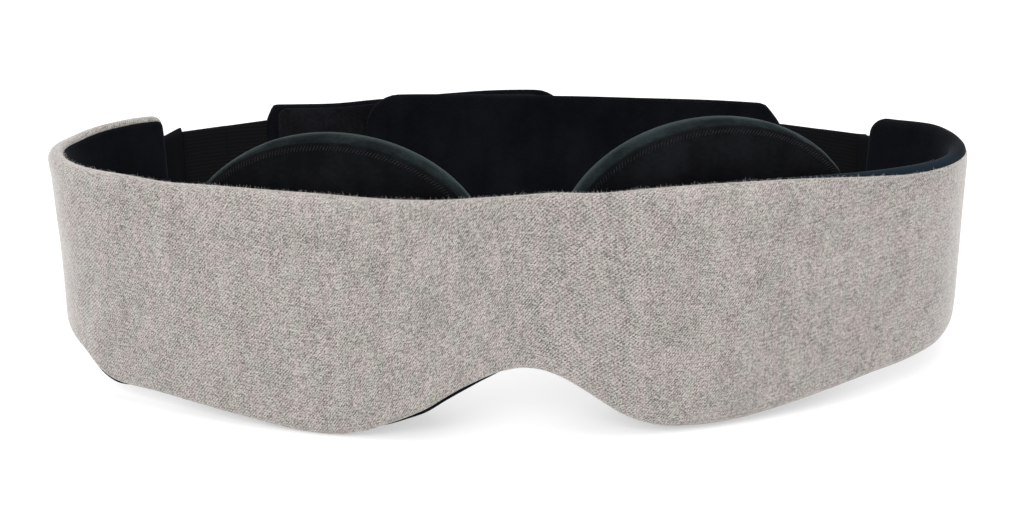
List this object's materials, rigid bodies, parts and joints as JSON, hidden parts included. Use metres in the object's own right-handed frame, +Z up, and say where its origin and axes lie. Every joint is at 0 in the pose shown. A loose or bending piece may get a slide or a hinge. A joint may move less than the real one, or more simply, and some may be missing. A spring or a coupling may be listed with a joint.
{
  "type": "eye massager mask",
  "caption": "Wrap-around padded knit eye mask with removable dark eye cups, a nose notch and an elastic strap closed by overlapping hook-and-loop pads.",
  "frame": {"origin": "centre of the bounding box at the table, under the mask as it stands on its cheek lobes and strap pads", "axes": "+X across the face, to the right as seen from the front; the outer face of the mask looks along -Y; +Z up. The mask stands tipped back, so its own height leans towards +Y"},
  "size_m": [0.252, 0.125, 0.0759],
  "materials": {
    "knit_cover": "heathered jersey, warm grey with pale and dark flecks",
    "foam": null,
    "velour_lining": "black-blue brushed loop velour",
    "folded_tape": "black folded binding",
    "elastic": "neutral black woven elastic",
    "overlock_thread": "black overlock thread",
    "hook_tape": "black moulded hook tape",
    "pad_felt": "black felt stiffener",
    "pad_velour": "black-blue brushed loop velour",
    "cup_side": "dark teal-grey stretch fabric",
    "cup_lining": "soft dark fabric against the eye",
    "cup_face": "black loop fabric",
    "button_rubber": "black silicone rubber",
    "puck_shell": "black moulded plastic",
    "circuit_board": "green solder mask",
    "battery_pouch": "silver laminate pouch",
    "charge_contact": "gold-plated pins",
    "motor_steel": "drawn steel can",
    "motor_tungsten": "sintered weight"
  },
  "bodies": {
    "front_panel": {"outer_cover": "knit_cover", "foam_core": "foam", "inner_lining": "velour_lining", "left_strap_anchor": "folded_tape", "right_strap_anchor": "folded_tape"},
    "left_cup": {"left_cup_front_face": "cup_face", "left_cup_gusset": "cup_side", "left_cup_foam": "foam", "left_cup_eye_cover": "cup_lining", "left_cup_overlock": "overlock_thread", "left_cup_hooks": "hook_tape", "left_puck_base": "puck_shell", "left_puck_lid": "puck_shell", "left_puck_board": "circuit_board", "left_puck_battery": "battery_pouch", "left_puck_contacts": "charge_contact", "left_motor_can": "motor_steel"},
    "left_motor_rotor": {"left_motor_weight": "motor_tungsten"},
    "left_button": {"left_puck_button": "button_rubber"},
    "right_cup": {"right_cup_front_face": "cup_face", "right_cup_gusset": "cup_side", "right_cup_foam": "foam", "right_cup_eye_cover": "cup_lining", "right_cup_overlock": "overlock_thread", "right_cup_hooks": "hook_tape", "right_puck_base": "puck_shell", "right_puck_lid": "puck_shell", "right_puck_board": "circuit_board", "right_puck_battery": "battery_pouch", "right_puck_contacts": "charge_contact", "right_motor_can": "motor_steel"},
    "right_motor_rotor": {"right_motor_weight": "motor_tungsten"},
    "right_button": {"right_puck_button": "button_rubber"},
    "left_strap": {"left_elastic": "elastic"},
    "left_pad": {"left_pad_core": "pad_felt", "left_pad_hook_patch": "hook_tape", "left_pad_inner_face": "pad_velour", "left_pad_outer_face": "pad_velour"},
    "right_strap": {"right_elastic": "elastic"},
    "right_pad": {"right_pad_core": "pad_felt", "right_pad_inner_face": "pad_velour", "right_pad_outer_face": "pad_velour"}
  },
  "joints": [
    {"name": "left_cup_spacing", "type": "hinge", "parent": "front_panel", "child": "left_cup", "pos_m": [0, 0.17076, 0.01227], "axis": [0, 0.1286, 0.9917], "range_deg": [-2.5, 1.5]},
    {"name": "left_rotor_spin", "type": "hinge", "parent": "left_cup", "child": "left_motor_rotor", "pos_m": [-0.05356, -0.04147, 0.03576], "axis": [0.2079, 0.97, -0.1258], "continuous": true},
    {"name": "left_button_press", "type": "slide", "parent": "left_cup", "child": "left_button", "axis": [0.2079, 0.97, -0.1258], "range_m": [0, 0.0005], "stiffness_N_per_m": 2000, "springref_m": -0.0001},
    {"name": "right_cup_spacing", "type": "hinge", "parent": "front_panel", "child": "right_cup", "pos_m": [0, 0.17112, 0.01504], "axis": [0, 0.1286, 0.9917], "range_deg": [-1.5, 2.5]},
    {"name": "right_rotor_spin", "type": "hinge", "parent": "right_cup", "child": "right_motor_rotor", "pos_m": [0.04319, -0.04342, 0.03883], "axis": [-0.2317, 0.9647, -0.1251], "continuous": true},
    {"name": "right_button_press", "type": "slide", "parent": "right_cup", "child": "right_button", "axis": [-0.2317, 0.9647, -0.1251], "range_m": [0, 0.0005], "stiffness_N_per_m": 2000, "springref_m": -0.0001},
    {"name": "left_strap_fold", "type": "hinge", "parent": "front_panel", "child": "left_strap", "pos_m": [-0.09567, 0.03742, 0.02704], "axis": [0, 0.1286, 0.9917], "range_deg": [0, 60]},
    {"name": "left_pad_tighten", "type": "hinge", "parent": "left_strap", "child": "left_pad", "pos_m": [0, -0.19252, 0.05686], "axis": [0, 0.1286, 0.9917], "range_deg": [-3, 0]},
    {"name": "right_strap_fold", "type": "hinge", "parent": "front_panel", "child": "right_strap", "pos_m": [0.1046, 0.03259, 0.02766], "axis": [0, 0.1286, 0.9917], "range_deg": [0, 25]},
    {"name": "right_pad_tighten", "type": "hinge", "parent": "right_strap", "child": "right_pad", "pos_m": [0, -0.19252, 0.05686], "axis": [0, 0.1286, 0.9917], "range_deg": [0, 3]}
  ]
}
